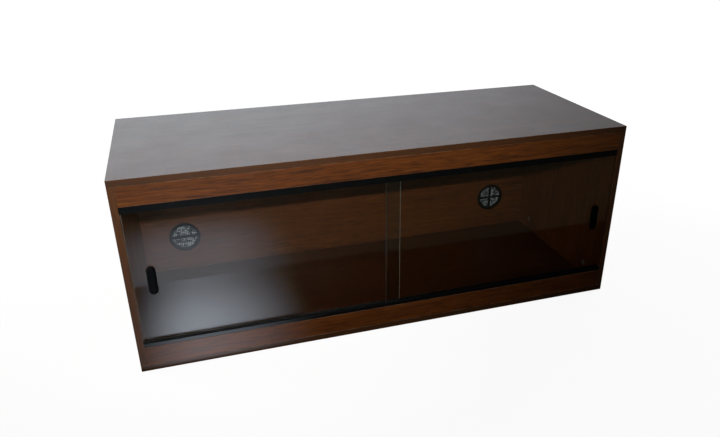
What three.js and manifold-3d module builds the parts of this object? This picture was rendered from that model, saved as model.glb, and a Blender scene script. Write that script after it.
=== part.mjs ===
// A terrarium cabinet with two sliding glass doors, built as its separate pieces. Millimetres, +Z up.
// +X is right and +Y is back, seen from the doors. The origin is at the middle of the underside.
import * as THREE from "three";
import { ConvexGeometry } from "three/addons/geometries/ConvexGeometry.js";
import { mergeGeometries, mergeVertices } from "three/addons/utils/BufferGeometryUtils.js";
import Module from "manifold-3d";

const wasm = await Module();
wasm.setup();

// Cabinet.
const WIDTH = 1220;
const DEPTH = 466;
const HEIGHT = 470;
const BOARD = 15;
const ARRIS = 0.5; // eased edge of a board
const BUTT_GAP = 0.1; // hairline left where two pieces butt together
const UPPER_RAIL_HEIGHT = 45;
const LOWER_RAIL_HEIGHT = 48;

// Glazing tracks, each one extrusion with two channels.
const CHANNEL_WIDTH = 5;
const TRACK_LIP = 1.5;
const TRACK_WEB = 3.5;
const TRACK_FLOOR = 2.5;
const LOWER_CHANNEL_DEPTH = 7;
const UPPER_CHANNEL_DEPTH = 13; // deeper, so that a pane lifts clear of the lower track
const TRACK_END_GAP = 0.3;
const TRACK_SETBACK = 0.75; // track's front face behind the rail's

// Doors.
const GLASS = 4;
const GLASS_ARRIS = 0.4;
const PANE_OVERLAP = 38; // where the two closed panes pass each other
const PANE_END_GAP = 0.5; // closed pane to side panel
const PANE_FLOOR_GAP = 0.3; // pane to the floor of the lower channel
const PANE_ENGAGEMENT = 5.5; // how far a seated pane reaches into the upper channel

// Finger pulls.
const PULL_WIDTH = 20;
const PULL_LENGTH = 69;
const PULL_THICKNESS = 2.5;
const PULL_RIM = 2.5;
const PULL_DISH = 1.4; // depth of the finger recess
const PULL_EASE = 0.5;
const PULL_INSET = 40.5; // pull's centre to the pane's outer edge
const PULL_RISE = 161; // pull's centre above the pane's lower edge
const BOND_GAP = 0.1;

// Round vents in the back panel.
const VENT_INSET = 130; // vent's centre to the outer face of the nearer side
const VENT_RISE = 116; // vent's centre above the ground
const FLANGE_DIAMETER = 86.5;
const FLANGE_THICKNESS = 2.5;
const FLANGE_EASE = 1;
const SLEEVE_BORE = 75;
const SLEEVE_WALL = 2;
const SLEEVE_LENGTH = 13;
const VENT_BAR_WIDTH = 7;
const VENT_BAR_DEPTH = 3;
const VENT_BAR_SETBACK = 0.5; // bar's face behind the flange's face
const INSERT_WALL = 2.2;
const INSERT_SHELF = 1; // ledge that the mesh lies against
const INSERT_FRONT = 3; // thickness of the insert's front ring and of its rib
const INSERT_LENGTH = 10;
const INSERT_RIB_WIDTH = 7;
const MESH_THICKNESS = 1;
const MESH_PITCH = 5;
const MESH_HOLE = 3.6;
const MESH_BORDER = 1; // solid rim outside the holes
const FIT_GAP = 0.3; // clearance round a piece that is pushed into a hole
const OVERCUT = 1; // how far a cutter passes the face that it opens

// Cam fittings and dowels.
const CAM_DIAMETER = 15;
const CAM_LENGTH = 12.5;
const CAM_INSET = 34; // cam's centre to the end of the side panel
const CAM_FROM_EDGE = 77; // cam's centre to the front or rear edge of the side panel
const CAM_MOUTH = 8.6; // slot in the cam that takes the bolt's head
const CAM_MOUTH_REACH = 4; // how far that slot passes the cam's centre
const DRIVE_SLOT_WIDTH = 1.6;
const DRIVE_SLOT_LENGTH = 9;
const DRIVE_SLOT_DEPTH = 1.5;
const BOLT_THREAD_RADIUS = 3.2;
const BOLT_THREAD_LENGTH = 11;
const BOLT_SHANK_RADIUS = 3;
const BOLT_NECK_RADIUS = 2;
const BOLT_NECK_LENGTH = 4;
const BOLT_HEAD_RADIUS = 3.5;
const BOLT_HEAD_LENGTH = 4;
const BOLT_BORE_RADIUS = 4;
const DOWEL_DIAMETER = 8;
const DOWEL_LENGTH = 30;
const DOWEL_IN_FACE = 11.5; // length of a dowel that sits in the face of a board
const DOWEL_EASE = 1;
const RAIL_DOWEL_SPACING = 22;
const BACK_DOWEL_INSET = 100; // dowel's centre to the end of the back panel

// Facets.
const ROUND_STEPS = 40;
const SMALL_ROUND_STEPS = 10;
const CAM_STEPS = 20;
const CORNER_STEPS = 8;

// Places that follow from the sizes above.
const FRONT = -DEPTH / 2;
const BACK = DEPTH / 2;
const INNER_WIDTH = WIDTH - 2 * BOARD;
const SIDE_BOTTOM = BOARD + BUTT_GAP;
const SIDE_TOP = HEIGHT - BOARD - BUTT_GAP;
const SIDE_X = (WIDTH - BOARD) / 2; // middle of a side panel's thickness
const FACE_X = INNER_WIDTH / 2; // inner face of a side panel
const BACK_FACE = BACK - BOARD; // inner face of the back panel
const RAIL_Y = FRONT + BOARD / 2;
const LOWER_RAIL_TOP = SIDE_BOTTOM + LOWER_RAIL_HEIGHT;
const UPPER_RAIL_BOTTOM = SIDE_TOP - UPPER_RAIL_HEIGHT;
const TRACK_WIDTH = 2 * TRACK_LIP + 2 * CHANNEL_WIDTH + TRACK_WEB;
const TRACK_FRONT = FRONT + TRACK_SETBACK;
const TRACK_Y = TRACK_FRONT + TRACK_WIDTH / 2;
const FRONT_CHANNEL_Y = TRACK_FRONT + TRACK_LIP + CHANNEL_WIDTH / 2;
const REAR_CHANNEL_Y = FRONT_CHANNEL_Y + CHANNEL_WIDTH + TRACK_WEB;
const LOWER_TRACK_BOTTOM = LOWER_RAIL_TOP + BUTT_GAP;
const UPPER_TRACK_TOP = UPPER_RAIL_BOTTOM - BUTT_GAP;
const UPPER_LIP_EDGE = UPPER_TRACK_TOP - TRACK_FLOOR - UPPER_CHANNEL_DEPTH;
const PANE_BOTTOM = LOWER_TRACK_BOTTOM + TRACK_FLOOR + PANE_FLOOR_GAP;
const PANE_TOP = UPPER_LIP_EDGE + PANE_ENGAGEMENT;
const PANE_HEIGHT = PANE_TOP - PANE_BOTTOM;
const PANE_WIDTH = (INNER_WIDTH - 2 * PANE_END_GAP + PANE_OVERLAP) / 2;
const PANE_X = (PANE_WIDTH - PANE_OVERLAP) / 2;
const SLEEVE_RADIUS = SLEEVE_BORE / 2 + SLEEVE_WALL;
const INSERT_RADIUS = SLEEVE_BORE / 2 - FIT_GAP;
const INSERT_OPENING = INSERT_RADIUS - INSERT_WALL;
const MESH_SEAT = INSERT_OPENING + INSERT_SHELF;
const DOWEL_HOLE_RADIUS = DOWEL_DIAMETER / 2 + FIT_GAP;
const SIDES = { left: -1, right: 1 };

const material = (colour, roughness, metalness = 0) =>
  new THREE.MeshStandardMaterial({ color: colour, roughness, metalness });
const WALNUT = material(0x573119, 0.45);
const BLACK_PLASTIC = material(0x0e1214, 0.4);
const CLEAR_GLASS = material(0xb8c4c0, 0.05);
CLEAR_GLASS.transparent = true;
CLEAR_GLASS.opacity = 0.25;
const GREY_MESH = material(0x8b9093, 0.5, 0.6);
const ZINC = material(0xb9b6ae, 0.35, 0.9);
const BEECH = material(0xc9a271, 0.7);

// A three.js geometry as a manifold-3d solid, and back.
function solid(geometry) {
  const bare = geometry.clone();
  bare.deleteAttribute("normal");
  bare.deleteAttribute("uv");
  const merged = mergeVertices(bare, 1e-4);
  return new wasm.Manifold(
    new wasm.Mesh({
      numProp: 3,
      vertProperties: merged.attributes.position.array,
      triVerts: new Uint32Array(merged.index.array),
    }),
  );
}

function geometryOf(body) {
  const { vertProperties, triVerts } = body.getMesh();
  const geometry = new THREE.BufferGeometry();
  geometry.setAttribute("position", new THREE.BufferAttribute(vertProperties, 3));
  geometry.setIndex(new THREE.BufferAttribute(triVerts, 1));
  geometry.computeVertexNormals();
  return geometry;
}

function cut(geometry, cutters) {
  return geometryOf(cutters.reduce((body, cutter) => body.subtract(solid(cutter)), solid(geometry)));
}

function join(geometry, others) {
  return geometryOf(others.reduce((body, other) => body.add(solid(other)), solid(geometry)));
}

function piece(name, geometry, finish, place = new THREE.Vector3()) {
  const mesh = new THREE.Mesh(geometry, finish);
  mesh.name = name;
  mesh.position.copy(place);
  return mesh;
}

// A box about the origin with every edge eased.
function easedBox(size, ease) {
  const half = size.clone().multiplyScalar(0.5);
  const corners = [];
  for (const x of [-1, 1])
    for (const y of [-1, 1])
      for (const z of [-1, 1]) {
        corners.push(new THREE.Vector3(x * half.x, y * (half.y - ease), z * (half.z - ease)));
        corners.push(new THREE.Vector3(x * (half.x - ease), y * half.y, z * (half.z - ease)));
        corners.push(new THREE.Vector3(x * (half.x - ease), y * (half.y - ease), z * half.z));
      }
  return new ConvexGeometry(corners);
}

// A round rod between two points, used for dowels' holes and bolts' bores.
function rod(from, to, radius, steps = SMALL_ROUND_STEPS) {
  const along = to.clone().sub(from);
  const geometry = new THREE.CylinderGeometry(radius, radius, along.length(), steps);
  const turn = new THREE.Quaternion().setFromUnitVectors(
    new THREE.Vector3(0, 1, 0),
    along.clone().normalize(),
  );
  geometry.applyQuaternion(turn);
  const middle = from.clone().lerp(to, 0.5);
  return geometry.translate(middle.x, middle.y, middle.z);
}

// A closed solid of revolution about +Y from [radius, height] pairs.
function lathe(profile, steps) {
  return new THREE.LatheGeometry(
    profile.map(([r, y]) => new THREE.Vector2(r, y)),
    steps,
  );
}

// A section drawn as (y, z), extruded along X about the origin.
function extrudeAlongX(section, length) {
  const geometry = new THREE.ExtrudeGeometry(section, { depth: length, bevelEnabled: false });
  const axes = new THREE.Matrix4().makeBasis(
    new THREE.Vector3(0, 1, 0),
    new THREE.Vector3(0, 0, 1),
    new THREE.Vector3(1, 0, 0),
  );
  return geometry.applyMatrix4(axes).translate(-length / 2, 0, 0);
}

// A dowel or bolt crosses from the face of one board into the edge of another at the point `at`,
// and `into` points into that edge.
function dowelHole(at, into) {
  const faceEnd = at.clone().addScaledVector(into, -DOWEL_IN_FACE - FIT_GAP);
  const edgeEnd = at.clone().addScaledVector(into, DOWEL_LENGTH - DOWEL_IN_FACE + FIT_GAP);
  return rod(faceEnd, edgeEnd, DOWEL_HOLE_RADIUS);
}

function dowel(name, at, into) {
  const radius = DOWEL_DIAMETER / 2;
  const profile = [
    [0, -DOWEL_IN_FACE],
    [radius - DOWEL_EASE, -DOWEL_IN_FACE],
    [radius, -DOWEL_IN_FACE + DOWEL_EASE],
    [radius, DOWEL_LENGTH - DOWEL_IN_FACE - DOWEL_EASE],
    [radius - DOWEL_EASE, DOWEL_LENGTH - DOWEL_IN_FACE],
    [0, DOWEL_LENGTH - DOWEL_IN_FACE],
  ];
  const mesh = piece(name, lathe(profile, SMALL_ROUND_STEPS), BEECH, at);
  mesh.quaternion.setFromUnitVectors(new THREE.Vector3(0, 1, 0), into);
  return mesh;
}

function camBolt(name, at, into) {
  const shank = CAM_INSET - BOLT_HEAD_LENGTH / 2 - BOLT_NECK_LENGTH;
  const neck = shank + BOLT_NECK_LENGTH;
  const head = neck + BOLT_HEAD_LENGTH;
  const profile = [
    [0, -BOLT_THREAD_LENGTH],
    [BOLT_THREAD_RADIUS, -BOLT_THREAD_LENGTH],
    [BOLT_THREAD_RADIUS, 0],
    [BOLT_SHANK_RADIUS, 0],
    [BOLT_SHANK_RADIUS, shank],
    [BOLT_NECK_RADIUS, shank],
    [BOLT_NECK_RADIUS, neck],
    [BOLT_HEAD_RADIUS, neck],
    [BOLT_HEAD_RADIUS, head],
    [0, head],
  ];
  const mesh = piece(name, lathe(profile, SMALL_ROUND_STEPS), ZINC, at);
  mesh.quaternion.setFromUnitVectors(new THREE.Vector3(0, 1, 0), into);
  return mesh;
}

function camBoltHoles(at, into) {
  const thread = at.clone().addScaledVector(into, -BOLT_THREAD_LENGTH - FIT_GAP);
  const pilotMouth = at.clone().addScaledVector(into, OVERCUT);
  const boreMouth = at.clone().addScaledVector(into, -OVERCUT);
  const cam = at.clone().addScaledVector(into, CAM_INSET);
  return {
    pilot: rod(thread, pilotMouth, BOLT_THREAD_RADIUS + FIT_GAP),
    bore: rod(boreMouth, cam, BOLT_BORE_RADIUS),
  };
}

// The cam's pocket opens on the inner face of its side panel.
function camPocket(side, at, into) {
  const centre = at.clone().addScaledVector(into, CAM_INSET);
  const mouth = centre.clone().setX(SIDES[side] * (FACE_X - OVERCUT));
  const floor = centre.clone().setX(SIDES[side] * (FACE_X + CAM_LENGTH + FIT_GAP));
  return rod(mouth, floor, CAM_DIAMETER / 2 + FIT_GAP, CAM_STEPS);
}

function camLock(name, side, at, into) {
  const body = new THREE.CylinderGeometry(CAM_DIAMETER / 2, CAM_DIAMETER / 2, CAM_LENGTH, CAM_STEPS);
  body.rotateZ(Math.PI / 2);
  body.translate(CAM_LENGTH / 2, 0, 0);
  const mouthLength = CAM_DIAMETER / 2 + OVERCUT + CAM_MOUTH_REACH;
  const mouth = new THREE.BoxGeometry(CAM_LENGTH, CAM_MOUTH, mouthLength);
  const mouthStart = BOARD / 2 - CAM_MOUTH / 2;
  mouth.translate(mouthStart + CAM_LENGTH / 2, 0, CAM_MOUTH_REACH - mouthLength / 2);
  const slots = [
    [DRIVE_SLOT_LENGTH, DRIVE_SLOT_WIDTH],
    [DRIVE_SLOT_WIDTH, DRIVE_SLOT_LENGTH],
  ].map(([y, z]) => new THREE.BoxGeometry(2 * DRIVE_SLOT_DEPTH, y, z));
  const mesh = piece(name, cut(body, [mouth, ...slots]), ZINC);
  mesh.position.copy(at).addScaledVector(into, CAM_INSET);
  mesh.position.setX(SIDES[side] * FACE_X);
  const outward = new THREE.Vector3(SIDES[side], 0, 0);
  mesh.quaternion.setFromRotationMatrix(
    new THREE.Matrix4().makeBasis(outward, into.clone().cross(outward), into),
  );
  return mesh;
}

const UP = new THREE.Vector3(0, 0, 1);
const DOWN = new THREE.Vector3(0, 0, -1);
const ends = {
  top: { z: SIDE_TOP, into: DOWN },
  base: { z: SIDE_BOTTOM, into: UP },
};
const holes = { base: [], top: [], left: [], right: [], back: [], upper: [], lower: [] };
const fittings = new THREE.Group();

for (const [side, sign] of Object.entries(SIDES)) {
  const inward = new THREE.Vector3(-sign, 0, 0);
  for (const [end, { z, into }] of Object.entries(ends)) {
    const cams = { front: FRONT + CAM_FROM_EDGE, rear: BACK - CAM_FROM_EDGE };
    for (const [place, y] of Object.entries(cams)) {
      const at = new THREE.Vector3(sign * SIDE_X, y, z);
      const { pilot, bore } = camBoltHoles(at, into);
      holes[end].push(pilot);
      holes[side].push(bore, camPocket(side, at, into));
      fittings.add(camBolt(`cam_bolt_${side}_${end}_${place}`, at, into));
      fittings.add(camLock(`cam_lock_${side}_${end}_${place}`, side, at, into));
    }
    const middle = new THREE.Vector3(sign * SIDE_X, 0, z);
    const hole = dowelHole(middle, into);
    holes[end].push(hole);
    holes[side].push(hole);
    fittings.add(dowel(`panel_dowel_${side}_${end}`, middle, into));
  }
  const rails = {
    upper: UPPER_RAIL_BOTTOM + UPPER_RAIL_HEIGHT / 2,
    lower: LOWER_RAIL_TOP - LOWER_RAIL_HEIGHT / 2,
  };
  for (const [rail, z] of Object.entries(rails)) {
    const pair = { high: z + RAIL_DOWEL_SPACING / 2, low: z - RAIL_DOWEL_SPACING / 2 };
    for (const [place, height] of Object.entries(pair)) {
      const at = new THREE.Vector3(sign * FACE_X, RAIL_Y, height);
      const hole = dowelHole(at, inward);
      holes[rail].push(hole);
      holes[side].push(hole);
      fittings.add(dowel(`rail_dowel_${side}_${rail}_${place}`, at, inward));
    }
  }
  const heights = { high: SIDE_TOP - BACK_DOWEL_INSET, low: SIDE_BOTTOM + BACK_DOWEL_INSET };
  for (const [place, height] of Object.entries(heights)) {
    const at = new THREE.Vector3(sign * FACE_X, BACK - BOARD / 2, height);
    const hole = dowelHole(at, inward);
    holes.back.push(hole);
    holes[side].push(hole);
    fittings.add(dowel(`back_dowel_${side}_${place}`, at, inward));
  }
}

// The boards. Cutters are drawn where they lie in the cabinet and moved into the board's own frame.
function board(name, low, high, cutters) {
  const size = high.clone().sub(low);
  const centre = low.clone().lerp(high, 0.5);
  const moved = cutters.map((c) => c.clone().translate(-centre.x, -centre.y, -centre.z));
  return piece(name, cut(easedBox(size, ARRIS), moved), WALNUT, centre);
}

function ventHole(side) {
  const at = new THREE.Vector3(SIDES[side] * (WIDTH / 2 - VENT_INSET), 0, VENT_RISE);
  const inside = at.clone().setY(BACK_FACE - OVERCUT);
  const outside = at.clone().setY(BACK + OVERCUT);
  return rod(inside, outside, SLEEVE_RADIUS + FIT_GAP, ROUND_STEPS);
}

function carcass() {
  const group = new THREE.Group();
  const at = (x, y, z) => new THREE.Vector3(x, y, z);
  const railEnd = FACE_X - BUTT_GAP;
  const inside = FACE_X;
  const outside = WIDTH / 2;
  group.add(
    board("base_panel", at(-outside, FRONT, 0), at(outside, BACK, BOARD), holes.base),
    board("top_panel", at(-outside, FRONT, HEIGHT - BOARD), at(outside, BACK, HEIGHT), holes.top),
    board("left_side_panel", at(-outside, FRONT, SIDE_BOTTOM), at(-inside, BACK, SIDE_TOP), holes.left),
    board("right_side_panel", at(inside, FRONT, SIDE_BOTTOM), at(outside, BACK, SIDE_TOP), holes.right),
    board("back_panel", at(-railEnd, BACK_FACE, SIDE_BOTTOM), at(railEnd, BACK, SIDE_TOP), [
      ...holes.back,
      ventHole("left"),
      ventHole("right"),
    ]),
    board(
      "upper_fascia",
      at(-railEnd, FRONT, UPPER_RAIL_BOTTOM),
      at(railEnd, FRONT + BOARD, SIDE_TOP),
      holes.upper,
    ),
    board(
      "lower_fascia",
      at(-railEnd, FRONT, SIDE_BOTTOM),
      at(railEnd, FRONT + BOARD, LOWER_RAIL_TOP),
      holes.lower,
    ),
  );
  return group;
}

// A glazing track lies on its floor, from z = 0, with its channels opening upwards.
function track(name, channelDepth) {
  const height = TRACK_FLOOR + channelDepth;
  const half = TRACK_WIDTH / 2;
  const section = new THREE.Shape();
  section.moveTo(-half, 0);
  section.lineTo(half, 0);
  section.lineTo(half, height);
  for (const channel of [1, -1]) {
    const outer = channel > 0 ? half - TRACK_LIP : -TRACK_WEB / 2;
    const inner = outer - CHANNEL_WIDTH;
    section.lineTo(outer, height);
    section.lineTo(outer, TRACK_FLOOR);
    section.lineTo(inner, TRACK_FLOOR);
    section.lineTo(inner, height);
  }
  section.lineTo(-half, height);
  section.closePath();
  return piece(name, extrudeAlongX(section, INNER_WIDTH - 2 * TRACK_END_GAP), BLACK_PLASTIC);
}

function tracks() {
  const group = new THREE.Group();
  const lower = track("lower_track", LOWER_CHANNEL_DEPTH);
  lower.position.set(0, TRACK_Y, LOWER_TRACK_BOTTOM);
  const upper = track("upper_track", UPPER_CHANNEL_DEPTH);
  upper.position.set(0, TRACK_Y, UPPER_TRACK_TOP);
  upper.rotation.x = Math.PI;
  group.add(lower, upper);
  return group;
}

// A rectangle with half-round ends, standing upright about the origin.
function stadium(width, length) {
  const radius = width / 2;
  const straight = length / 2 - radius;
  const shape = new THREE.Shape();
  shape.absarc(0, straight, radius, 0, Math.PI);
  shape.absarc(0, -straight, radius, Math.PI, 2 * Math.PI);
  shape.closePath();
  return shape;
}

// The pull's back is at y = 0 and its dished face looks towards -Y.
function fingerPull(name) {
  const width = PULL_WIDTH - 2 * PULL_EASE;
  const body = new THREE.ExtrudeGeometry(stadium(width, PULL_LENGTH - 2 * PULL_EASE), {
    depth: PULL_THICKNESS - 2 * PULL_EASE,
    bevelThickness: PULL_EASE,
    bevelSize: PULL_EASE,
    bevelSegments: 1,
    curveSegments: CORNER_STEPS,
  });
  body.translate(0, 0, PULL_EASE);
  const dish = new THREE.ExtrudeGeometry(stadium(PULL_WIDTH - 2 * PULL_RIM, PULL_LENGTH - 2 * PULL_RIM), {
    depth: 2 * PULL_DISH,
    bevelEnabled: false,
    curveSegments: CORNER_STEPS,
  });
  dish.translate(0, 0, PULL_THICKNESS - PULL_DISH);
  const mesh = piece(name, cut(body, [dish]), BLACK_PLASTIC);
  mesh.rotation.x = Math.PI / 2;
  return mesh;
}

// A door is drawn where it lies when shut: the left pane in the rear channel, the right in the front.
function door(side) {
  const group = new THREE.Group();
  const channel = { left: REAR_CHANNEL_Y, right: FRONT_CHANNEL_Y }[side];
  group.position.set(SIDES[side] * PANE_X, channel, PANE_BOTTOM);
  const pane = piece(
    `${side}_glass_door`,
    easedBox(new THREE.Vector3(PANE_WIDTH, GLASS, PANE_HEIGHT), GLASS_ARRIS),
    CLEAR_GLASS,
    new THREE.Vector3(0, 0, PANE_HEIGHT / 2),
  );
  const pull = fingerPull(`${side}_finger_pull`);
  pull.position.set(SIDES[side] * (PANE_WIDTH / 2 - PULL_INSET), -GLASS / 2 - BOND_GAP, PULL_RISE);
  group.add(pane, pull);
  return group;
}

// The vent's parts are drawn about its axis, with y = 0 at the panel's inner face.
function ventBezel(name) {
  const flange = FLANGE_DIAMETER / 2;
  const bore = SLEEVE_BORE / 2;
  const profile = [
    [bore, -FLANGE_THICKNESS],
    [flange - FLANGE_EASE, -FLANGE_THICKNESS],
    [flange, -FLANGE_THICKNESS + FLANGE_EASE],
    [flange, -BUTT_GAP],
    [SLEEVE_RADIUS, -BUTT_GAP],
    [SLEEVE_RADIUS, SLEEVE_LENGTH],
    [bore, SLEEVE_LENGTH],
    [bore, -FLANGE_THICKNESS],
  ];
  const ring = lathe(profile, ROUND_STEPS);
  const bar = new THREE.BoxGeometry(SLEEVE_BORE + SLEEVE_WALL, VENT_BAR_DEPTH, VENT_BAR_WIDTH);
  bar.translate(0, VENT_BAR_SETBACK - FLANGE_THICKNESS + VENT_BAR_DEPTH / 2, 0);
  return piece(name, join(ring, [bar]), BLACK_PLASTIC);
}

function ventInsert(name) {
  const profile = [
    [INSERT_OPENING, 0],
    [INSERT_RADIUS, 0],
    [INSERT_RADIUS, INSERT_LENGTH],
    [MESH_SEAT, INSERT_LENGTH],
    [MESH_SEAT, INSERT_FRONT],
    [INSERT_OPENING, INSERT_FRONT],
    [INSERT_OPENING, 0],
  ];
  const rib = new THREE.BoxGeometry(INSERT_OPENING + INSERT_RADIUS, INSERT_FRONT, INSERT_RIB_WIDTH);
  rib.translate(0, INSERT_FRONT / 2, 0);
  return piece(name, join(lathe(profile, ROUND_STEPS), [rib]), BLACK_PLASTIC);
}

function ventMesh(name) {
  const radius = MESH_SEAT - FIT_GAP;
  const disc = new THREE.CylinderGeometry(radius, radius, MESH_THICKNESS, ROUND_STEPS);
  const gaps = [];
  const reach = Math.floor(radius / MESH_PITCH);
  for (let column = -reach; column <= reach; column++)
    for (let row = -reach; row <= reach; row++) {
      const x = column * MESH_PITCH;
      const z = row * MESH_PITCH;
      const corner = Math.hypot(Math.abs(x) + MESH_HOLE / 2, Math.abs(z) + MESH_HOLE / 2);
      if (corner > radius - MESH_BORDER) continue;
      gaps.push(new THREE.BoxGeometry(MESH_HOLE, 2 * MESH_THICKNESS, MESH_HOLE).translate(x, 0, z));
    }
  return piece(name, cut(disc, [mergeGeometries(gaps)]), GREY_MESH);
}

// The insert can be pushed in at any angle: at the left its rib lies behind the bezel's bar, at the
// right it stands square to it.
function vent(side) {
  const group = new THREE.Group();
  group.position.set(SIDES[side] * (WIDTH / 2 - VENT_INSET), BACK_FACE, VENT_RISE);
  const insert = new THREE.Group();
  insert.position.y = VENT_BAR_SETBACK - FLANGE_THICKNESS + VENT_BAR_DEPTH + FIT_GAP;
  insert.rotation.y = { left: 0, right: Math.PI / 2 }[side];
  const mesh = ventMesh(`${side}_vent_mesh`);
  mesh.position.y = INSERT_FRONT + FIT_GAP + MESH_THICKNESS / 2;
  insert.add(ventInsert(`${side}_vent_insert`), mesh);
  group.add(ventBezel(`${side}_vent_bezel`), insert);
  return group;
}

const cabinet = new THREE.Group();
cabinet.add(carcass(), fittings, tracks(), door("left"), door("right"), vent("left"), vent("right"));

export default cabinet;
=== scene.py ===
"""A terrarium cabinet of walnut-faced board with two sliding glass doors.

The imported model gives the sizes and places. Here the boards, cam fittings and dowels get their finishes, and
the tracks, panes, finger pulls and vents are made again with rounded edges, smooth rounds and woven mesh. The
stage, the lamps and the camera follow.
"""

import math

import bmesh
import bpy
from mathutils import Matrix, Vector


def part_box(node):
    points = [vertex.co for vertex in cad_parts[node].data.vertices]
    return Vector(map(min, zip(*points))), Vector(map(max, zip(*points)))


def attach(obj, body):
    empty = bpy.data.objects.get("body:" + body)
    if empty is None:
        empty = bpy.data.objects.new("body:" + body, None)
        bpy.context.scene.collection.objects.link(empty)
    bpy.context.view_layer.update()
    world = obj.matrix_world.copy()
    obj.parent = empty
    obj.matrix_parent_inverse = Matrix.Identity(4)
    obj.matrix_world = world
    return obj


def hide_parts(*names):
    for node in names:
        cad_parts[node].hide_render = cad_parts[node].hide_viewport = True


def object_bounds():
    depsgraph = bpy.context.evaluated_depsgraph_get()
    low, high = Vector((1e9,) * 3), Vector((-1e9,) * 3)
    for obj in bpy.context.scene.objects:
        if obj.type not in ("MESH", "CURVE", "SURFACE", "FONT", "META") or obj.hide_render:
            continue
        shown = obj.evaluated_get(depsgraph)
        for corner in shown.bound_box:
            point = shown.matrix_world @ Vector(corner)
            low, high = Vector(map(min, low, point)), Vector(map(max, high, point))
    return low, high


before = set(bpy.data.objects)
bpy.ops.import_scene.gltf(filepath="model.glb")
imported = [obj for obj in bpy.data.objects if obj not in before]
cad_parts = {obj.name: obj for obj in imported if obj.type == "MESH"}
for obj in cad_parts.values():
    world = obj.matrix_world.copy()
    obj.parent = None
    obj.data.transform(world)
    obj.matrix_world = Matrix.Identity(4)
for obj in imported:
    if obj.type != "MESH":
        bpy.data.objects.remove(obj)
CAD_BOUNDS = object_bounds()
MM = 0.001

# Camera, fitted to the corners of the photograph
PICTURE_WIDTH, PICTURE_HEIGHT = 720, 437  # pixels
SENSOR_WIDTH = 36  # mm
FOCAL_PIXELS = 657.33
PRINCIPAL_POINT = (379.58, 228.91)  # pixels from the top left: the picture is a cut from a larger one
CAMERA_AT = Vector((-0.45088, -1.56334, 0.94662))
CAMERA_AIM = Vector((-0.0362, -0.2330, 0.2807))
CAMERA_ROLL = math.radians(-0.24)

# Light, in metres and watts: a small lamp above the camera, and a soft one behind the cabinet at either side
FRONT_LAMP_AT = Vector((-0.450, -1.565, 1.042))
FRONT_LAMP_AIM = Vector((-0.310, -0.2330, 0.740))
FRONT_LAMP_RADIUS = 0.012
FRONT_LAMP_POWER = 100
FRONT_LAMP_CONE = math.radians(74)
REAR_LAMP_REACH = 2.6
REAR_LAMP_BACK = 0.9
REAR_LAMP_HEIGHT = 0.7
REAR_LAMP_SIZE = 1.2
REAR_LAMP_POWER = 22
AMBIENT = 0.16  # the room's own light

# Tracks, panes and finger pulls, in mm
TRACK_EASE = 0.35
GLASS_EDGE_EASE = 0.7
PULL_RIM = 2.5
PULL_WALL = 1.0  # run of the slope from the rim down to the dish
PULL_DISH_DEPTH = 1.4
PULL_EASE = 0.55
PULL_STEPS = 64  # sides of the two half-round ends together

# Vents, in mm
ROUND_STEPS = 96
FLANGE_THICKNESS = 2.5
FLANGE_GAP = 0.1  # between the flange and the board behind it
# The flange's two rounds, as points out from the bore or from the rim, and back from the flange's face
BORE_ROUND = ((0, 0.8), (0.3, 0.25), (0.9, 0))
RIM_ROUND = ((-2.2, 0), (-1.0, 0.25), (-0.3, 0.8), (0, 1.5))
SLEEVE_BORE = 75.0
SLEEVE_WALL = 2.0
BAR_WIDTH = 7.0
BAR_DEPTH = 3.0
BAR_SETBACK = 0.5
BAR_EASE = 0.8
INSERT_WALL = 2.2
INSERT_SHELF = 1.0  # how far the shelf reaches in from the wall
INSERT_FRONT = 3.0  # depth of the shelf and of the rib
INSERT_EASE = 0.4
RIB_WIDTH = 7.0
MESH_RIM = 1.2
MESH_PITCH = 5.0
MESH_WIRE = 1.7
WIRE_RISE = 0.3  # how far a wire bends to either side at a crossing, as a share of its thickness
WIRE_SIDES = 5

# Meshes
CAD_MERGE = 0.002 * MM
SPUN_MERGE = 0.001 * MM
FLAT_WITHIN = math.radians(1)
SMOOTH_WITHIN = math.radians(40)
FACE_ON = 0.99  # a normal's share along an axis from which a face counts as square to it


class Value:
    """An output of a node. Arithmetic on it adds Math nodes to the same tree."""

    def __init__(self, nodes, socket):
        self.nodes = nodes
        self.socket = socket

    def math(self, operation, *others):
        inputs = dict(enumerate((self, *others)))
        return self.nodes.add("ShaderNodeMath", {"operation": operation}, inputs)

    def __add__(self, other):
        return self.math("ADD", other)

    def __sub__(self, other):
        return self.math("SUBTRACT", other)

    def __rsub__(self, other):
        return self.nodes.add("ShaderNodeMath", {"operation": "SUBTRACT"}, {0: other, 1: self})

    def __mul__(self, other):
        return self.math("MULTIPLY", other)

    def __truediv__(self, other):
        return self.math("DIVIDE", other)

    __radd__ = __add__
    __rmul__ = __mul__

    def between(self, low, high):
        """0 below low, 1 above high, with a smooth rise between."""
        settings = {"interpolation_type": "SMOOTHSTEP"}
        inputs = {"Value": self, "From Min": low, "From Max": high}
        return self.nodes.add("ShaderNodeMapRange", settings, inputs)


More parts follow.
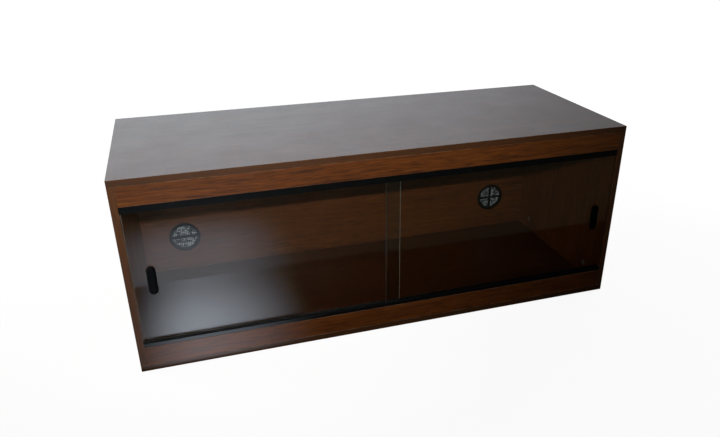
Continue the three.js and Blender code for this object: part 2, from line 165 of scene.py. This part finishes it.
class Nodes:
    """A node tree being built. One method adds any node."""

    def __init__(self, tree):
        self.tree = tree
        tree.nodes.clear()

    def add(self, kind, settings=None, inputs=None, output=0):
        node = self.tree.nodes.new(kind)
        for name, value in (settings or {}).items():
            setattr(node, name, value)
        for name, value in (inputs or {}).items():
            if isinstance(value, Value):
                self.tree.links.new(value.socket, node.inputs[name])
            else:
                node.inputs[name].default_value = value
        return Value(self, node.outputs[output])

    def mix(self, factor, first, second, blend="MIX"):
        settings = {"data_type": "RGBA", "blend_type": blend, "clamp_factor": True}
        return self.add("ShaderNodeMix", settings, {0: factor, 6: first, 7: second}, output=2)

    def noise(self, where, scale, detail=2.0, roughness=0.5):
        inputs = {"Vector": where, "Scale": scale, "Detail": detail, "Roughness": roughness}
        return self.add("ShaderNodeTexNoise", {"noise_dimensions": "3D"}, inputs)

    def streaks(self, axes, size, detail, roughness=0.5):
        """Noise drawn out by the sizes, in mm, that its spots have along three axes."""
        where = self.join(*(axis / length for axis, length in zip(axes, size)))
        return self.noise(where, 1.0, detail, roughness)

    def place(self):
        """Object coordinates in mm."""
        coordinates = self.add("ShaderNodeTexCoord", output="Object")
        return self.add("ShaderNodeVectorMath", {"operation": "SCALE"}, {0: coordinates, "Scale": 1 / MM})

    def split(self, vector):
        return [self.add("ShaderNodeSeparateXYZ", inputs={0: vector}, output=axis) for axis in range(3)]

    def join(self, x, y, z):
        return self.add("ShaderNodeCombineXYZ", inputs={0: x, 1: y, 2: z})

    def bump(self, height, distance):
        return self.add("ShaderNodeBump", inputs={"Height": height, "Distance": distance, "Strength": 1.0})

    def principled(self, **sockets):
        names = {name.replace("_", " "): value for name, value in sockets.items()}
        return self.add("ShaderNodeBsdfPrincipled", inputs=names)

    def light_path(self, output):
        return self.add("ShaderNodeLightPath", output=output)

    def ray(self, kind):
        return self.light_path(f"Is {kind} Ray")

    def mix_shader(self, factor, first, second):
        return self.add("ShaderNodeMixShader", inputs={0: factor, 1: first, 2: second})

    def show(self, shader, output="ShaderNodeOutputMaterial"):
        node = self.tree.nodes.new(output)
        self.tree.links.new(shader.socket, node.inputs["Surface"])


def new_material(name):
    material = bpy.data.materials.new(name)
    material.use_nodes = True
    return material, Nodes(material.node_tree)


def colour(red, green, blue):
    """A node colour from sRGB numbers of 0 to 255."""

    def linear(value):
        value /= 255
        return value / 12.92 if value <= 0.04045 else ((value + 0.055) / 1.055) ** 2.4

    return (linear(red), linear(green), linear(blue), 1.0)


def box_mm(node):
    """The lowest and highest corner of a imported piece."""
    low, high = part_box(node)
    return low / MM, high / MM


# Walnut-faced board. Streaks of the print are given by their length and width in mm, and the scales of other
# noise per mm. Levels are where a noise starts to show and where it shows fully
GRAIN_DARK = colour(58, 28, 8)
GRAIN_MID = colour(91, 46, 10)
GRAIN_LIGHT = colour(112, 62, 18)
PORE = colour(40, 18, 4)
EDGE_TAPE = colour(66, 42, 22)
# Painted highlight: a pale colour along the boards' arrises, in patches
ARRIS_HIGHLIGHT = colour(128, 92, 66)
SWAY = (420, 90)
SWAY_REACH = 34  # mm, from side to side
FIGURE = (900, 46)
BANDS = (330, 9)
LINES = (80, 3.4)
FIBRES = (26, 0.8)
STROKES = (42, 2.3)
PORES = (14, 0.7)
FIGURE_SHARE, BAND_SHARE, LINE_SHARE, FIBRE_SHARE = 0.18, 0.22, 0.44, 0.16
DARK_TO_MID = (0.38, 0.5)
MID_TO_LIGHT = (0.5, 0.62)
PORE_LEVELS = (0.62, 0.72)
PORE_STRENGTH = 0.4
STROKE_LEVELS = (0.55, 0.68)
STROKE_STRENGTH = 0.55
FACE_TURN = (0.6, 0.9)  # the normal's share along the thickness at which tape gives way to print
TAPE_STRENGTH = 0.6
HIGHLIGHT_REACH = (0.3, 1.1)  # mm from an arris: full painted highlight within the first, none from the second
HIGHLIGHT_SCALE = 0.05
HIGHLIGHT_LEVELS = (0.35, 0.65)
HIGHLIGHT_STRENGTH = 0.55
SMEAR_SCALE = 0.012
GRAIN_RELIEF = 0.06 * MM


def arris_distance(axes, low, high):
    """How far a point is, in mm, from the nearest arris of the box between two corners."""
    gaps = []
    for axis, start, end in zip(axes, low, high):
        middle = (start + end) / 2
        half = (end - start) / 2
        gaps.append(half - (axis - middle).math("ABSOLUTE"))
    nearer = gaps[0].math("MINIMUM", gaps[1])
    further = gaps[0].math("MAXIMUM", gaps[1])
    return nearer.math("MAXIMUM", further.math("MINIMUM", gaps[2]))


def walnut(node, grain, thin, sheet, shade):
    """Printed walnut for one board. grain and thin are the axes of the grain and of the board's thickness.
    sheet is the corner of the printed sheet that the board was cut from. shade darkens the whole of it, which
    paints shade on the base and back panels inside the cabinet and on the top."""
    material, nodes = new_material(f"walnut_{node}")
    low, high = box_mm(node)
    here = nodes.place()
    axes = nodes.split(here)
    along = axes[grain] + sheet[0]
    second, third = (axes[axis] for axis in range(3) if axis != grain)
    straight = second + third + sheet[1]
    sway = nodes.streaks((along, straight, 0.0), (*SWAY, 1), detail=1.0)
    across = straight + (sway - 0.5) * SWAY_REACH

    def streaks(size, layer, detail, roughness=0.5):
        return nodes.streaks((along, across, layer), (*size, 1), detail, roughness)

    figure = streaks(FIGURE, layer=0.0, detail=2.0)
    bands = streaks(BANDS, layer=4.0, detail=3.0, roughness=0.6)
    lines = streaks(LINES, layer=9.0, detail=3.0, roughness=0.6)
    fibres = streaks(FIBRES, layer=2.0, detail=2.0)
    strokes = streaks(STROKES, layer=13.0, detail=1.0).between(*STROKE_LEVELS)
    pores = streaks(PORES, layer=6.0, detail=1.0).between(*PORE_LEVELS)

    tone = figure * FIGURE_SHARE + bands * BAND_SHARE + lines * LINE_SHARE + fibres * FIBRE_SHARE
    wood = nodes.mix(tone.between(*DARK_TO_MID), GRAIN_DARK, GRAIN_MID)
    wood = nodes.mix(tone.between(*MID_TO_LIGHT), wood, GRAIN_LIGHT)
    wood = nodes.mix(pores * PORE_STRENGTH, wood, PORE)
    wood = nodes.mix(strokes * STROKE_STRENGTH, wood, PORE)
    # painted shade: a shade below 1 darkens the whole board
    wood = nodes.mix(1.0, wood, (shade, shade, shade, 1.0), blend="MULTIPLY")

    normal = nodes.add("ShaderNodeTexCoord", output="Normal")
    facing = nodes.split(normal)[thin].math("ABSOLUTE")
    tape = 1 - facing.between(*FACE_TURN)
    wood = nodes.mix(tape * TAPE_STRENGTH, wood, EDGE_TAPE)

    # painted highlight along every arris of the board, in patches
    whole = arris_distance(axes, low, high).between(*HIGHLIGHT_REACH)
    highlight_patches = nodes.noise(here, HIGHLIGHT_SCALE, detail=3.0).between(*HIGHLIGHT_LEVELS)
    wood = nodes.mix((1 - whole) * highlight_patches * HIGHLIGHT_STRENGTH, wood, ARRIS_HIGHLIGHT)

    smears = nodes.noise(here, SMEAR_SCALE)
    height = lines * 0.5 + fibres * 0.3 - pores * 0.8
    shader = nodes.principled(
        Base_Color=wood,
        Roughness=0.33 + smears * 0.1 + pores * 0.12,
        IOR=1.5,
        Normal=nodes.bump(height, GRAIN_RELIEF),
    )
    nodes.show(shader)
    return material


# Plastics
TRACK_BLACK = colour(4, 5, 6)
TRACK_DUST = colour(26, 28, 30)
TRACK_LUSTRE = {"upper_track": 0.22, "lower_track": 0.5}
TRACK_LINES = (400, 0.5, 0.5)  # mm along x, y and z
TRACK_RELIEF = 0.04 * MM
TRACK_DUST_SPOTS = (12, 5, 5)  # mm, likewise
TRACK_DUST_LEVELS = (0.52, 0.8)
PULL_BLACK = colour(2, 3, 4)
PULL_DUST = colour(8, 10, 12)
VENT_BLACK = colour(3, 4, 5)
VENT_DUST = colour(10, 10, 10)
MOULD_GRAIN_SCALE = 1.6
MOULD_RELIEF = 0.03 * MM
MOULD_DUST_SCALE = 0.09
MOULD_DUST_LEVELS = (0.45, 0.75)


def extruded_plastic(name, lustre):
    """Black rigid plastic with faint lines along its run, for the tracks."""
    material, nodes = new_material(name)
    axes = nodes.split(nodes.place())
    lines = nodes.streaks(axes, TRACK_LINES, detail=2.0)
    dust = nodes.streaks(axes, TRACK_DUST_SPOTS, detail=4.0, roughness=0.7).between(*TRACK_DUST_LEVELS)
    shader = nodes.principled(
        Base_Color=nodes.mix(dust * 0.2, TRACK_BLACK, TRACK_DUST),
        Roughness=0.3 + lines * 0.12 + dust * 0.2,
        Specular_IOR_Level=lustre,
        Normal=nodes.bump(lines, TRACK_RELIEF),
    )
    nodes.show(shader)
    return material


def moulded_plastic(name, shade, dusty, roughness, lustre):
    """Black moulded plastic with a fine grain and a little dust."""
    material, nodes = new_material(name)
    here = nodes.place()
    grain = nodes.noise(here, MOULD_GRAIN_SCALE)
    dust = nodes.noise(here, MOULD_DUST_SCALE, detail=5.0, roughness=0.7).between(*MOULD_DUST_LEVELS)
    shader = nodes.principled(
        Base_Color=nodes.mix(dust * 0.5, shade, dusty),
        Roughness=roughness + dust * 0.15,
        Specular_IOR_Level=lustre,
        Normal=nodes.bump(grain, MOULD_RELIEF),
    )
    nodes.show(shader)
    return material


# Glass
GLASS_TINT = (0.93, 0.95, 0.94, 1.0)
GLASS_SHADOW = (0.9, 0.92, 0.91, 1.0)
PAINTED_EDGE_LIGHT = {  # each pane's edges as two shades mixed by streaks: painted light, pale on the left pane and dark on the right
    "left": (colour(92, 88, 80), colour(136, 130, 118)),
    "right": (colour(30, 28, 24), colour(52, 48, 42)),
}
GROUND_SCALE = 0.3
GROUND_LEVELS = (0.3, 0.7)


def clear_glass():
    """Float glass. Rays that carry light pass it straight, so that the inside is lit."""
    material, nodes = new_material("door_glass")
    clear = nodes.principled(Base_Color=GLASS_TINT, Roughness=0.0, IOR=1.5, Transmission_Weight=1.0)
    straight = nodes.add("ShaderNodeBsdfTransparent", inputs={"Color": GLASS_SHADOW})
    lit = nodes.mix_shader(nodes.ray("Diffuse"), clear, straight)
    nodes.show(nodes.mix_shader(nodes.ray("Shadow"), lit, straight))
    return material


def ground_glass(side):
    """A pane's ground edges: satin, with painted light, pale on the left pane and dark on the right, and paler
    in streaks.
    """
    material, nodes = new_material(f"{side}_glass_edge")
    streaks = nodes.noise(nodes.place(), GROUND_SCALE, detail=4.0, roughness=0.7)
    shade = nodes.mix(streaks.between(*GROUND_LEVELS), *PAINTED_EDGE_LIGHT[side])
    nodes.show(nodes.principled(Base_Color=shade, Roughness=0.28 + streaks * 0.15, IOR=1.5))
    return material


# Metals and dowels
WIRE_DULL = colour(60, 63, 66)
WIRE_BRIGHT = colour(196, 203, 208)
WIRE_SCALE = 0.16
WIRE_LEVELS = (0.38, 0.62)
ZINC_DARK = colour(138, 136, 130)
ZINC_LIGHT = colour(178, 176, 170)
ZINC_SCALE = 0.5
BEECH_DARK = colour(176, 138, 98)
BEECH_LIGHT = colour(212, 178, 136)
BEECH_FIBRES = (9, 1.2, 1.2)  # mm along x, y and z


def mesh_metal():
    """Dull aluminium wire."""
    material, nodes = new_material("vent_mesh")
    spots = nodes.noise(nodes.place(), WIRE_SCALE)
    shade = nodes.mix(spots.between(*WIRE_LEVELS), WIRE_DULL, WIRE_BRIGHT)
    nodes.show(nodes.principled(Base_Color=shade, Metallic=0.35, Roughness=0.5 + spots * 0.15))
    return material


def zinc():
    material, nodes = new_material("cam_zinc")
    spots = nodes.noise(nodes.place(), ZINC_SCALE, detail=3.0)
    shade = nodes.mix(spots, ZINC_DARK, ZINC_LIGHT)
    nodes.show(nodes.principled(Base_Color=shade, Metallic=0.85, Roughness=0.36 + spots * 0.12))
    return material


def beech():
    material, nodes = new_material("dowel_beech")
    fibre = nodes.streaks(nodes.split(nodes.place()), BEECH_FIBRES, detail=3.0)
    shade = nodes.mix(fibre, BEECH_DARK, BEECH_LIGHT)
    nodes.show(nodes.principled(Base_Color=shade, Roughness=0.55 + fibre * 0.1))
    return material


def dress(node, material):
    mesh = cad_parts[node].data
    mesh.materials.clear()
    mesh.materials.append(material)


def finish_piece(name, shape, materials, body, replaced, flat=False):
    """Turns a bmesh into a piece that rides on a body and stands for CAD nodes, which it hides."""
    mesh = bpy.data.meshes.new(name)
    bmesh.ops.recalc_face_normals(shape, faces=shape.faces)
    shape.to_mesh(mesh)
    shape.free()
    for material in materials:
        mesh.materials.append(material)
    piece = bpy.data.objects.new(name, mesh)
    bpy.context.collection.objects.link(piece)
    if not flat:
        mesh.shade_smooth()
        mesh.set_sharp_from_angle(angle=SMOOTH_WITHIN)
        piece.modifiers.new("even_shading", "WEIGHTED_NORMAL").keep_sharp = True
    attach(piece, body)
    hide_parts(*replaced)


def solid_copy(node):
    """The node's mesh merged into whole faces."""
    shape = bmesh.new()
    shape.from_mesh(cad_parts[node].data)
    bmesh.ops.remove_doubles(shape, verts=shape.verts, dist=CAD_MERGE)
    bmesh.ops.dissolve_limit(shape, angle_limit=FLAT_WITHIN, verts=shape.verts, edges=shape.edges)
    return shape


def round_edges(shape, radius, segments=3, sharper_than=30):
    """Rounds the edges that turn by more than sharper_than degrees."""
    turn = math.radians(sharper_than)
    sharp = [edge for edge in shape.edges if edge.calc_face_angle(0) > turn]
    bmesh.ops.bevel(
        shape,
        geom=sharp,
        offset=radius * MM,
        offset_type="OFFSET",
        segments=segments,
        profile=0.5,
        affect="EDGES",
        clamp_overlap=True,
        material=-1,
    )


def block(low, high):
    """A box between two corners in mm."""
    shape = bmesh.new()
    size = Vector(high) - Vector(low)
    middle = (Vector(high) + Vector(low)) / 2
    matrix = Matrix.Translation(middle * MM) @ Matrix.Diagonal((*(size * MM), 1.0))
    bmesh.ops.create_cube(shape, size=1.0, matrix=matrix)
    return shape


def gather(shapes):
    """One bmesh that holds all the given ones."""
    whole = bmesh.new()
    for shape in shapes:
        mesh = bpy.data.meshes.new("gathered")
        shape.to_mesh(mesh)
        shape.free()
        whole.from_mesh(mesh)
        bpy.data.meshes.remove(mesh)
    return whole


def lathe(section, axis_at):
    """Spins a closed section of (radius, y) points, in mm, about a line along Y through axis_at."""
    shape = bmesh.new()
    corners = [shape.verts.new((radius * MM, y * MM, 0)) for radius, y in section]
    loop = [shape.edges.new(pair) for pair in zip(corners, corners[1:] + corners[:1])]
    bmesh.ops.spin(
        shape,
        geom=loop,
        cent=(0, 0, 0),
        axis=(0, 1, 0),
        angle=math.tau,
        steps=ROUND_STEPS,
        use_merge=True,
    )
    bmesh.ops.remove_doubles(shape, verts=shape.verts, dist=SPUN_MERGE)
    bmesh.ops.recalc_face_normals(shape, faces=shape.faces)
    bmesh.ops.translate(shape, verts=shape.verts, vec=axis_at * MM)
    return shape


def tracks():
    for name, lustre in TRACK_LUSTRE.items():
        material = extruded_plastic(f"{name}_plastic", lustre)
        shape = solid_copy(name)
        round_edges(shape, TRACK_EASE, segments=2)
        finish_piece(f"{name}_extrusion", shape, [material], "cabinet", [name])


def pane(side, glass, edge):
    """A door's pane with eased edges. Its two faces are clear and its edges are ground."""
    node = f"{side}_glass_door"
    shape = block(*box_mm(node))
    round_edges(shape, GLASS_EDGE_EASE)
    for face in shape.faces:
        face.material_index = 0 if abs(face.normal.y) > FACE_ON else 1
    finish_piece(f"{side}_pane", shape, [glass, edge], f"{side}_door", [node], flat=True)


def finger_pull(side, material):
    """An oblong pull with half-round ends, a rounded rim and a dished face."""
    node = f"{side}_finger_pull"
    low, high = box_mm(node)
    middle = (low + high) / 2
    width, thickness, length = high - low
    straight = (length - width) / 2
    shape = bmesh.new()
    start = Matrix.Rotation(math.pi / PULL_STEPS, 4, "Z")
    bmesh.ops.create_circle(shape, cap_ends=True, segments=PULL_STEPS, radius=width / 2 * MM, matrix=start)
    for corner in shape.verts:
        corner.co.y += math.copysign(straight * MM, corner.co.y)
    back = shape.faces[:]
    grown = bmesh.ops.extrude_face_region(shape, geom=back)["geom"]
    front = [part for part in grown if isinstance(part, bmesh.types.BMFace)]
    raised = [part for part in grown if isinstance(part, bmesh.types.BMVert)]
    bmesh.ops.translate(shape, verts=raised, vec=(0, 0, thickness * MM))
    bmesh.ops.recalc_face_normals(shape, faces=shape.faces)
    bmesh.ops.inset_region(shape, faces=front, thickness=PULL_RIM * MM, depth=0)
    bmesh.ops.inset_region(shape, faces=front, thickness=PULL_WALL * MM, depth=-PULL_DISH_DEPTH * MM)
    round_edges(shape, PULL_EASE, segments=4, sharper_than=25)
    turn = Matrix.Rotation(math.pi / 2, 4, "X")
    seat = Matrix.Translation(Vector((middle.x, high.y, middle.z)) * MM)
    bmesh.ops.transform(shape, matrix=seat @ turn, verts=shape.verts)
    finish_piece(f"{side}_pull", shape, [material], f"{side}_door", [node])


def vent_bezel(side, material):
    """The vent's front part: a flange with a rounded rim, a sleeve and one bar across."""
    node = f"{side}_vent_bezel"
    low, high = box_mm(node)
    axis = Vector(((low.x + high.x) / 2, 0, (low.z + high.z) / 2))
    flange = (high.x - low.x) / 2
    bore = SLEEVE_BORE / 2
    face = low.y
    wall = face + FLANGE_THICKNESS - FLANGE_GAP
    section = [
        *((bore + out, face + back) for out, back in BORE_ROUND),
        *((flange + out, face + back) for out, back in RIM_ROUND),
        (flange, wall),
        (bore + SLEEVE_WALL, wall),
        (bore + SLEEVE_WALL, high.y),
        (bore, high.y),
    ]
    ring = lathe(section, axis)
    front = face + BAR_SETBACK
    reach = bore + SLEEVE_WALL / 2
    bar = block(
        (axis.x - reach, front, axis.z - BAR_WIDTH / 2),
        (axis.x + reach, front + BAR_DEPTH, axis.z + BAR_WIDTH / 2),
    )
    round_edges(bar, BAR_EASE)
    finish_piece(f"{side}_vent_front", gather([ring, bar]), [material], "cabinet", [node])


def vent_insert(side, material):
    """The vent's rear part: a ring with a shelf for the mesh and one rib, upright in the right vent only."""
    node = f"{side}_vent_insert"
    low, high = box_mm(node)
    axis = Vector(((low.x + high.x) / 2, 0, (low.z + high.z) / 2))
    outer = (high.x - low.x) / 2
    seat = outer - INSERT_WALL
    opening = seat - INSERT_SHELF
    section = [
        (opening, low.y),
        (outer - INSERT_EASE, low.y),
        (outer, low.y + INSERT_EASE),
        (outer, high.y - INSERT_EASE),
        (outer - INSERT_EASE, high.y),
        (seat, high.y),
        (seat, low.y + INSERT_FRONT),
        (opening, low.y + INSERT_FRONT),
    ]
    ring = lathe(section, axis)
    half = RIB_WIDTH / 2
    across = (half, seat) if side == "right" else (seat, half)
    rib = block(
        (axis.x - across[0], low.y, axis.z - across[1]),
        (axis.x + across[0], low.y + INSERT_FRONT, axis.z + across[1]),
    )
    round_edges(rib, INSERT_EASE)
    finish_piece(f"{side}_vent_rear", gather([ring, rib]), [material], "cabinet", [node])


def wire(length, phase):
    """One wire of the weave along X about the origin, bent to and fro at the crossings."""
    shape = bmesh.new()
    ring = bmesh.ops.create_circle(
        shape,
        segments=WIRE_SIDES,
        radius=MESH_WIRE / 2 * MM,
        matrix=Matrix.Rotation(math.pi / 2, 4, "Y"),
    )["verts"]
    steps = max(2, round(length / MESH_PITCH * 2))
    bmesh.ops.translate(shape, verts=ring, vec=(-length / 2 * MM, 0, 0))
    edges = shape.edges[:]
    stride = length / steps
    rise = MESH_WIRE * WIRE_RISE
    places = [step * stride - length / 2 for step in range(steps + 1)]
    lift = [rise * math.sin(math.pi * (phase + place / MESH_PITCH)) for place in places]
    bmesh.ops.translate(shape, verts=ring, vec=(0, lift[0] * MM, 0))
    for step in range(steps):
        grown = bmesh.ops.extrude_edge_only(shape, edges=edges)["geom"]
        moved = [part for part in grown if isinstance(part, bmesh.types.BMVert)]
        edges = [part for part in grown if isinstance(part, bmesh.types.BMEdge)]
        bmesh.ops.translate(shape, verts=moved, vec=(stride * MM, (lift[step + 1] - lift[step]) * MM, 0))
    bmesh.ops.holes_fill(shape, edges=[edge for edge in shape.edges if edge.is_boundary])
    return shape


def vent_mesh(side, material):
    """A disc of woven wire in a pressed rim."""
    node = f"{side}_vent_mesh"
    low, high = box_mm(node)
    middle = (low + high) / 2
    radius = (high.x - low.x) / 2
    reach = radius - MESH_RIM / 2
    count = int(reach / MESH_PITCH)
    wires = []
    for upright in (False, True):
        for number in range(-count, count + 1):
            offset = (number + 0.5) * MESH_PITCH
            if abs(offset) > reach - MESH_WIRE:
                continue
            length = 2 * math.sqrt(reach**2 - offset**2)
            one = wire(length, 0.5 + number + (0 if upright else 1))
            bmesh.ops.translate(one, verts=one.verts, vec=(0, 0, offset * MM))
            if upright:
                bmesh.ops.rotate(one, verts=one.verts, matrix=Matrix.Rotation(math.pi / 2, 3, "Y"))
            bmesh.ops.translate(one, verts=one.verts, vec=middle * MM)
            wires.append(one)
    inner = radius - MESH_RIM
    section = [(inner, low.y), (radius, low.y), (radius, high.y), (inner, high.y)]
    rim = lathe(section, Vector((middle.x, 0, middle.z)))
    finish_piece(f"{side}_vent_weave", gather([*wires, rim]), [material], "cabinet", [node])


def dress_boards():
    boards = {  # axes of the grain and of the thickness, corner on the printed sheet in mm, shade: painted shade on the base, back and top panels, and a slightly darker lower fascia
        "base_panel": ("x", "z", (410, 260), 0.36),
        "top_panel": ("x", "z", (1730, 905), 0.75),
        "back_panel": ("x", "y", (2900, 1490), 0.8),
        "upper_fascia": ("x", "y", (640, 2110), 1.0),
        "lower_fascia": ("x", "y", (3300, 2740), 0.88),
        "left_side_panel": ("z", "x", (980, 3350), 1.0),
        "right_side_panel": ("z", "x", (2250, 3960), 1.0),
    }
    for node, (grain, thin, sheet, shade) in boards.items():
        dress(node, walnut(node, "xyz".index(grain), "xyz".index(thin), sheet, shade))


def dress_fittings():
    metal, wood = zinc(), beech()
    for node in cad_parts:
        if node.startswith("cam_"):
            dress(node, metal)
        elif "_dowel_" in node:
            dress(node, wood)


# Stage
WHITE = (1.0, 1.0, 1.0, 1.0)
BLACK = (0.0, 0.0, 0.0, 1.0)
DAYLIGHT = (0.82, 0.92, 1.0, 1.0)  # the room's windows, as gloss shows them
PATCH_LIGHT = (0.78, 0.87, 1.0, 1.0)  # the bright patch of floor, as glass and gloss show it
DIM_LIGHT = (1.0, 0.95, 0.65, 1.0)  # the rest of the floor, likewise
FLOOR_SIZE = 30
FLOOR_SHOWN = 0.92  # how bright the floor shows by itself, under the lamps' light
FLOOR_MATT = (0.16, 0.16, 0.16, 1.0)  # its colour under the lamps, which gives it the cabinet's shadow
FLOOR_TO_WHITE = (0.9, 3.0)  # metres from the middle over which the floor turns fully white
# The bright patch of floor before the cabinet, as glass and gloss mirror it. Each pair is where a change
# begins and ends, in metres along x or y. The far part reaches to PATCH_EDGE. The near part goes on from
# there to PATCH_END, and grows brighter over PATCH_NEAR
PATCH_LEFT = (-0.66, -0.475)
PATCH_RIGHT = (-0.48, -0.17)
PATCH_FAR_LEFT = (-0.74, -0.55)
PATCH_FAR_RIGHT = (-0.40, -0.13)
PATCH_FAR = (-1.12, -0.80)
PATCH_EDGE = (-0.620, -0.612)
PATCH_FAR_LEVEL = 0.88
PATCH_NEAR_LEVELS = (1.6, 3.25)
PATCH_NEAR = (-0.603, -0.363)
PATCH_END = (-0.25, -0.24)
DIM_LEVEL = 0.04
DIM_TO_PATCH = (0.05, 0.3)  # levels over which the floor's colour turns to the patch's
# The room as gloss mirrors it. Pairs are shares of a direction along x or y
DIM_ROOM = 0.035
WINDOW_LEVEL = 2.0
WINDOW_BEHIND = (0.1, 0.5)
WINDOW_RIGHT = (0.0, 0.75)
WINDOW_RIGHT_LOSS = 1.45
WINDOW_EDGE = (0.45, 0.62)
WINDOW_EDGE_LOSS = 0.5
INSIDE_LOSS = 0.9  # how much less of the window the gloss inside the cabinet finds


def sight(nodes):
    """Rays straight from the eye, those that come through glass, those that gloss or glass has mirrored, and
    those that have been through glass on their way. All others carry light."""
    before_light = nodes.light_path("Diffuse Depth").math("LESS_THAN", 0.5)
    turned = nodes.light_path("Glossy Depth").math("GREATER_THAN", 0.5)
    through = nodes.ray("Transmission") * before_light * (1 - turned)
    mirrored = nodes.ray("Glossy") * before_light * turned
    inside = nodes.light_path("Transmission Depth").math("GREATER_THAN", 0.5)
    return nodes.ray("Camera"), through, mirrored, inside


def patch_level(x, y):
    """How bright gloss finds the floor at x, y."""
    near_low, near_high = PATCH_NEAR_LEVELS
    near = near_low + y.between(*PATCH_NEAR) * (near_high - near_low)
    near = x.between(*PATCH_LEFT) * (1 - x.between(*PATCH_RIGHT)) * near
    far = x.between(*PATCH_FAR_LEFT) * (1 - x.between(*PATCH_FAR_RIGHT)) * y.between(*PATCH_FAR)
    far = far * PATCH_FAR_LEVEL + DIM_LEVEL
    edge = y.between(*PATCH_EDGE)
    in_front = 1 - y.between(*PATCH_END)
    return in_front * (edge * near + (1 - edge) * far)


def floor():
    material, nodes = new_material("pale_floor")
    coordinates = nodes.add("ShaderNodeTexCoord", output="Object")
    distance = nodes.add("ShaderNodeVectorMath", {"operation": "LENGTH"}, {0: coordinates}, output="Value")
    x, y, _ = nodes.split(coordinates)
    direct, through, mirrored, _ = sight(nodes)
    away = distance.between(*FLOOR_TO_WHITE)
    level = patch_level(x, y)
    shown = direct * (FLOOR_SHOWN + away * (1 - FLOOR_SHOWN)) + through * away + mirrored * level
    pool = nodes.mix(level.between(*DIM_TO_PATCH), DIM_LIGHT, PATCH_LIGHT)
    tint = nodes.mix(mirrored, WHITE, pool)
    glow = nodes.add("ShaderNodeEmission", inputs={"Color": tint, "Strength": shown})
    lit = nodes.mix(mirrored + through, FLOOR_MATT, BLACK)
    matt = nodes.add("ShaderNodeBsdfDiffuse", inputs={"Color": lit})
    nodes.show(nodes.add("ShaderNodeAddShader", inputs={0: glow, 1: matt}))
    shape = bmesh.new()
    bmesh.ops.create_grid(shape, x_segments=1, y_segments=1, size=FLOOR_SIZE / 2)
    mesh = bpy.data.meshes.new("floor")
    shape.to_mesh(mesh)
    shape.free()
    mesh.materials.append(material)
    plane = bpy.data.objects.new("floor", mesh)
    bpy.context.collection.objects.link(plane)


def surroundings():
    """The room: white to the eye and through the glass, dim with a bright window to gloss, weak as a light."""
    world = bpy.data.worlds.new("pale_room")
    bpy.context.scene.world = world
    world.use_nodes = True
    nodes = Nodes(world.node_tree)
    direction = nodes.add("ShaderNodeTexCoord", output="Generated")
    x, y, _ = nodes.split(direction)
    level = WINDOW_LEVEL - x.between(*WINDOW_RIGHT) * WINDOW_RIGHT_LOSS
    opening = y.between(*WINDOW_BEHIND) * (1 - x.between(*WINDOW_EDGE) * WINDOW_EDGE_LOSS)
    direct, through, mirrored, inside = sight(nodes)
    window = (DIM_ROOM + opening * level) * (1 - inside * INSIDE_LOSS)
    seen = direct + through
    strength = seen + mirrored * window + (1 - seen - mirrored) * AMBIENT
    tint = nodes.mix(mirrored, WHITE, DAYLIGHT)
    background = nodes.add("ShaderNodeBackground", inputs={"Color": tint, "Strength": strength})
    nodes.show(background, "ShaderNodeOutputWorld")


def add_lamp(name, kind, at, aim, energy, **settings):
    lamp = bpy.data.lights.new(name, kind)
    lamp.energy = energy
    for key, value in settings.items():
        setattr(lamp, key, value)
    holder = bpy.data.objects.new(name, lamp)
    bpy.context.collection.objects.link(holder)
    holder.location = at
    holder.rotation_euler = (aim - at).to_track_quat("-Z", "Y").to_euler()


def lamps():
    add_lamp(
        "front_lamp",
        "SPOT",
        FRONT_LAMP_AT,
        FRONT_LAMP_AIM,
        FRONT_LAMP_POWER,
        spot_size=FRONT_LAMP_CONE,
        spot_blend=1.0,
        shadow_soft_size=FRONT_LAMP_RADIUS,
    )
    low, high = CAD_BOUNDS
    middle = (low + high) / 2
    for name, reach in (("left_rear_lamp", -REAR_LAMP_REACH), ("right_rear_lamp", REAR_LAMP_REACH)):
        at = Vector((reach, REAR_LAMP_BACK, REAR_LAMP_HEIGHT))
        add_lamp(name, "AREA", at, middle, REAR_LAMP_POWER, size=REAR_LAMP_SIZE)


def camera():
    data = bpy.data.cameras.new("camera")
    data.sensor_width = SENSOR_WIDTH
    data.lens = FOCAL_PIXELS * SENSOR_WIDTH / PICTURE_WIDTH
    data.shift_x = (PICTURE_WIDTH / 2 - PRINCIPAL_POINT[0]) / PICTURE_WIDTH
    data.shift_y = (PRINCIPAL_POINT[1] - PICTURE_HEIGHT / 2) / PICTURE_WIDTH
    holder = bpy.data.objects.new("camera", data)
    bpy.context.collection.objects.link(holder)
    holder.location = CAMERA_AT
    look = (CAMERA_AIM - CAMERA_AT).to_track_quat("-Z", "Y").to_matrix().to_4x4()
    holder.rotation_euler = (look @ Matrix.Rotation(CAMERA_ROLL, 4, "Z")).to_euler()
    bpy.context.scene.camera = holder


dress_boards()
dress_fittings()
tracks()
door_glass = clear_glass()
pull_plastic = moulded_plastic("pull_plastic", PULL_BLACK, PULL_DUST, roughness=0.25, lustre=0.08)
vent_plastic = moulded_plastic("vent_plastic", VENT_BLACK, VENT_DUST, roughness=0.5, lustre=0.1)
weave_metal = mesh_metal()
for side in ("left", "right"):
    pane(side, door_glass, ground_glass(side))
    finger_pull(side, pull_plastic)
    vent_bezel(side, vent_plastic)
    vent_insert(side, vent_plastic)
    vent_mesh(side, weave_metal)
floor()
surroundings()
lamps()
camera()
bpy.context.scene.view_settings.view_transform = "Standard"
